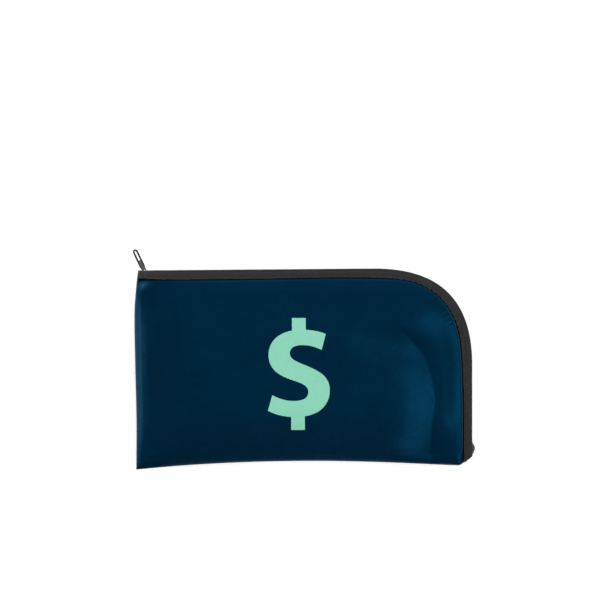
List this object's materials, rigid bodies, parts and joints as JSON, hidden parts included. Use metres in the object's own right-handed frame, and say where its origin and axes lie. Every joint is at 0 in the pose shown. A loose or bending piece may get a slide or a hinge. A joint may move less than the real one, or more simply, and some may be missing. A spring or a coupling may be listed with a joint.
{
  "type": "cash deposit bag",
  "caption": "Flat vinyl pouch with a coil zipper along its top edge, round one big corner and down the side, and a printed currency sign.",
  "frame": {"origin": "middle of the flat on the back that the bag rests on", "axes": "+X along the straight top run of the zipper, away from its closed end; +Y from the bottom seam to the zipper; +Z out of the printed face"},
  "size_m": [0.2829, 0.1825, 0.0281],
  "materials": {
    "vinyl": "satin",
    "ink": "matte",
    "tape": "matte",
    "coil": "satin",
    "metal": "satin",
    "thread": "matte"
  },
  "bodies": {
    "bag": {"front_panel": "vinyl", "back_panel": "vinyl", "printed_sign": "ink", "front_tape": "tape", "back_tape": "tape", "front_coil": "coil", "back_coil": "coil", "front_top_stop": "metal", "back_top_stop": "metal", "bottom_stop": "metal", "front_tape_stitching": "thread", "back_tape_stitching": "thread", "left_seam_thread": "thread", "bottom_seam_thread": "thread"},
    "slider": {"slider_body": "metal"},
    "pull": {"pull_tab": "metal"}
  },
  "joints": [
    {"name": "slider_travel", "type": "slide", "parent": "bag", "child": "slider", "axis": [1, 0.008, 0], "range_m": [0, 0.18]},
    {"name": "pull_swing", "type": "hinge", "parent": "slider", "child": "pull", "pos_m": [-0.13069, 0.07841, 0.012], "axis": [0, 0, 1], "range_deg": [-70, 40]}
  ]
}
